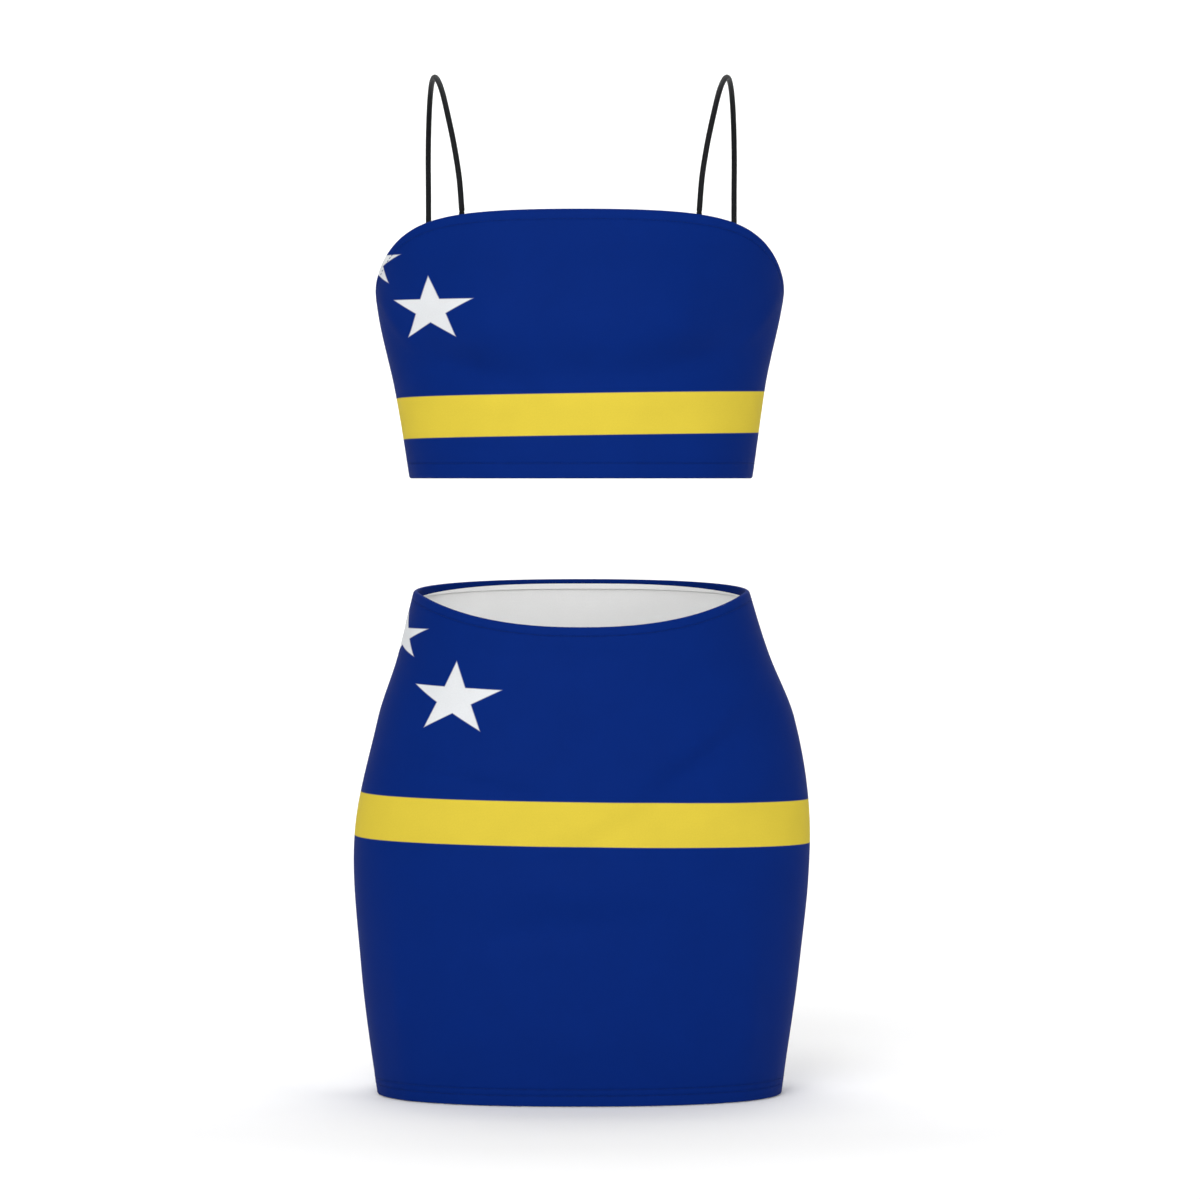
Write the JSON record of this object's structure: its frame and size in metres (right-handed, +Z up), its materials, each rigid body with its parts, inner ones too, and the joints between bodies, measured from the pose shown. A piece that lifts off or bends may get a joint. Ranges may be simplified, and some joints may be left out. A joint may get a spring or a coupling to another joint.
{
  "type": "cheer uniform",
  "caption": "Two-piece cheer uniform in stretch knit: a cropped camisole top with thin looped straps above a short close-fitting tube skirt.",
  "frame": {"origin": "middle of the uniform's outline, in the plane that the skirt's hem stands on", "axes": "+Z up, the front faces -Y, +X is the wearer's left"},
  "size_m": [0.3642, 0.2322, 0.8121],
  "materials": {
    "printed_knit": "matte stretch knit, printed deep blue with a yellow band and white stars outside, white inside",
    "lining_knit": "matte white knit",
    "elastic": "white woven elastic",
    "blue_thread": "twisted polyester thread",
    "white_thread": "textured overlock thread",
    "strap_cord": "black rolled knit cord"
  },
  "bodies": {
    "skirt": {"skirt_front_panel": "printed_knit", "skirt_back_panel": "printed_knit", "skirt_waist_elastic": "elastic", "skirt_waist_stitching": "blue_thread", "skirt_hem_upper_stitching": "blue_thread", "skirt_hem_lower_stitching": "blue_thread", "skirt_left_seam_overlock": "white_thread", "skirt_right_seam_overlock": "white_thread"},
    "top": {"top_front_panel": "printed_knit", "top_back_panel": "printed_knit", "top_front_lining": "lining_knit", "top_back_lining": "lining_knit", "top_upper_elastic": "elastic", "top_hem_elastic": "elastic", "top_upper_stitching": "blue_thread", "top_hem_stitching": "blue_thread", "top_left_seam_overlock": "white_thread", "top_right_seam_overlock": "white_thread", "left_front_strap_tail": "strap_cord", "left_back_strap_tail": "strap_cord", "right_front_strap_tail": "strap_cord", "right_back_strap_tail": "strap_cord"},
    "left_shoulder_strap": {"left_strap": "strap_cord"},
    "right_shoulder_strap": {"right_strap": "strap_cord"}
  },
  "joints": [
    {"name": "top_lift", "type": "slide", "parent": "skirt", "child": "top", "axis": [0, 0, 1], "range_m": [0, 0.25]},
    {"name": "left_strap_swing", "type": "hinge", "parent": "top", "child": "left_shoulder_strap", "pos_m": [0.093, -0.08111, 0.70125], "axis": [0.205, 0.9741, -0.0954], "range_deg": [-60, 85]},
    {"name": "right_strap_swing", "type": "hinge", "parent": "top", "child": "right_shoulder_strap", "pos_m": [-0.093, -0.08111, 0.70125], "axis": [0.205, -0.9741, 0.0954], "range_deg": [-60, 85]}
  ]
}
